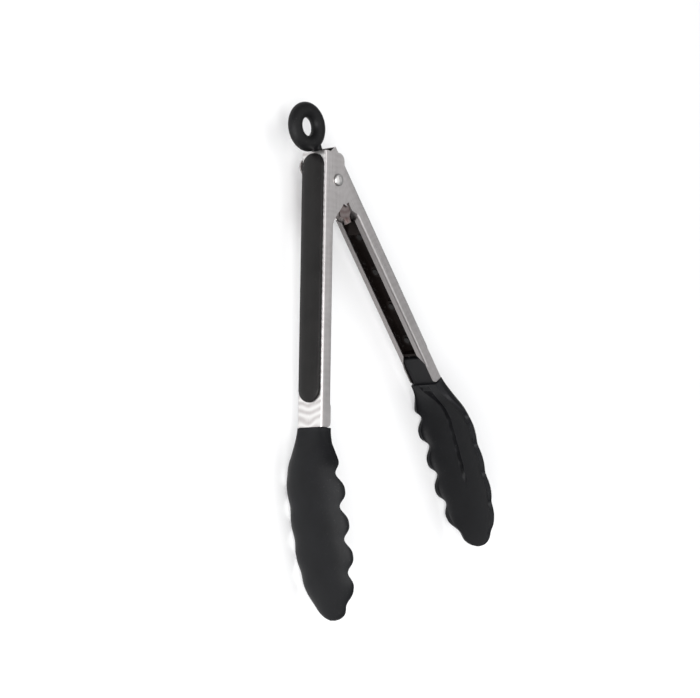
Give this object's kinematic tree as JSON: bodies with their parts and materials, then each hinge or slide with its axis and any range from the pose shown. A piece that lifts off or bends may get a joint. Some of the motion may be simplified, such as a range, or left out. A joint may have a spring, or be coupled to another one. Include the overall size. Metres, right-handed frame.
{
  "type": "kitchen tongs",
  "caption": "Spring loaded kitchen tongs: two brushed steel channel arms on a hinge rivet, soft grips, scalloped silicone covered heads, and a sliding lock with a pull ring.",
  "frame": {"origin": "middle of the bounding box at its lowest level, the tongs lying on one side and open", "axes": "+Y from the head tips to the pull ring along the line midway between the arms, +Z along the hinge rivet, +X from the front arm to the rear arm"},
  "size_m": [0.1618, 0.3142, 0.0462],
  "materials": {
    "arm_steel": "brushed along the arm",
    "rivet_steel": "satin",
    "spring_steel": "satin",
    "grip_rubber": "soft matte",
    "carrier_nylon": "matte",
    "core_nylon": "matte",
    "head_silicone": "matte, faint sheen",
    "ring_plastic": "matte"
  },
  "bodies": {
    "front_arm": {"front_channel": "arm_steel", "front_grip_pad": "grip_rubber", "front_grip_carrier": "carrier_nylon", "front_head_core": "core_nylon", "front_head_sleeve": "head_silicone", "hinge_rivet": "rivet_steel"},
    "rear_arm": {"rear_channel": "arm_steel", "rear_grip_pad": "grip_rubber", "rear_grip_carrier": "carrier_nylon", "rear_head_core": "core_nylon", "rear_head_sleeve": "head_silicone"},
    "spring_hub": {"spring_bush": "carrier_nylon", "torsion_spring": "spring_steel"},
    "lock_slide": {"lock_bracket": "spring_steel", "pull_ring": "ring_plastic"}
  },
  "joints": [
    {"name": "arm_hinge", "type": "hinge", "parent": "front_arm", "child": "rear_arm", "pos_m": [0, 0.10524, 0.02312], "axis": [0, 0, 1], "range_deg": [-32, 0], "stiffness_Nm_per_rad": 0.6, "springref_deg": 20.05, "deforming": ["torsion_spring"]},
    {"name": "lock_swing", "type": "hinge", "parent": "front_arm", "child": "spring_hub", "pos_m": [0, 0.10524, 0.02312], "axis": [0, 0, 1], "range_deg": [-21, 0]},
    {"name": "lock_pull", "type": "slide", "parent": "spring_hub", "child": "lock_slide", "axis": [-0.1279, 0.9918, 0], "range_m": [0, 0.008]}
  ],
  "couplings": [
    {"joint": "lock_swing", "follows": "arm_hinge", "ratio": 0.639}
  ]
}
